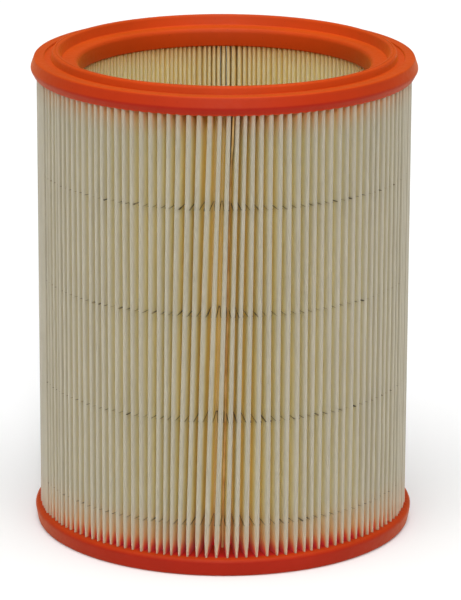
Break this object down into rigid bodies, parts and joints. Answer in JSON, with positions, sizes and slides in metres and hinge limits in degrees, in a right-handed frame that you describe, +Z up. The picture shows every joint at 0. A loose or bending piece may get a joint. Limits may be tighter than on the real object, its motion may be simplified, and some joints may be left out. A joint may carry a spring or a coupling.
{
  "type": "pleated filter cartridge",
  "caption": "Cylindrical pleated filter cartridge for a dust extractor: an open top end cap with a raised seal bead, a pleated media ring with glue threads, and a closed bottom cap.",
  "frame": {"origin": "centre of the resting face under the bottom end cap", "axes": "+Z up along the cartridge's axis, from the closed bottom cap to the open top cap; -Y is the front, where the media's seam is"},
  "size_m": [0.1896, 0.1896, 0.24],
  "materials": {
    "moulded_polyurethane": "satin",
    "filter_fleece": "matte",
    "hot_melt_thread": "matte",
    "hot_melt_seam": "satin"
  },
  "bodies": {
    "root": {"top_end_cap": "moulded_polyurethane", "bottom_end_cap": "moulded_polyurethane", "pleated_media": "filter_fleece", "media_seam_bond": "hot_melt_seam", "outer_glue_thread_1": "hot_melt_thread", "outer_glue_thread_2": "hot_melt_thread", "outer_glue_thread_3": "hot_melt_thread", "outer_glue_thread_4": "hot_melt_thread", "inner_glue_thread_1": "hot_melt_thread", "inner_glue_thread_2": "hot_melt_thread", "inner_glue_thread_3": "hot_melt_thread", "inner_glue_thread_4": "hot_melt_thread"}
  },
  "joints": []
}
